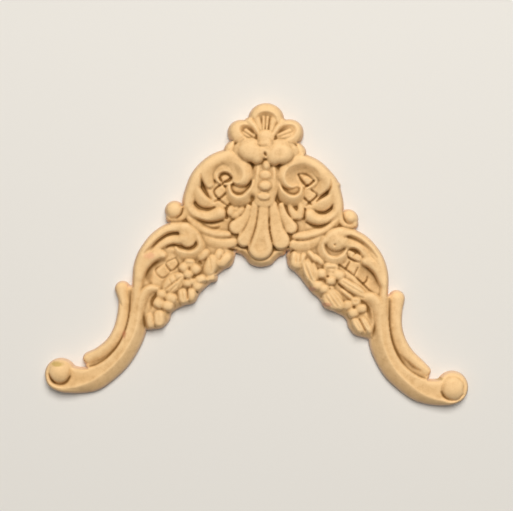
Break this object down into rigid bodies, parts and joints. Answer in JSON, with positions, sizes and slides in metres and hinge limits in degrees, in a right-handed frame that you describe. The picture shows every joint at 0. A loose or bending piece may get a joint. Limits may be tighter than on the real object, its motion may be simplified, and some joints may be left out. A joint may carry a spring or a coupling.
{
  "type": "furniture applique",
  "caption": "Moulded wood-pulp applique for furniture: a flower crest and shell over two scrolled arms hung with garlands, flat on the back.",
  "frame": {"origin": "on the flat back, on the middle line, at the root of the shell's flutes", "axes": "+Z out of the carved face, +Y towards the flower crest, +X to the right as seen from the face; the part lies on its flat back"},
  "size_m": [0.12, 0.0839, 0.0085],
  "materials": {
    "wood_pulp": "matt, bare pressed wood pulp"
  },
  "bodies": {
    "root": {"applique": "wood_pulp"}
  },
  "joints": []
}
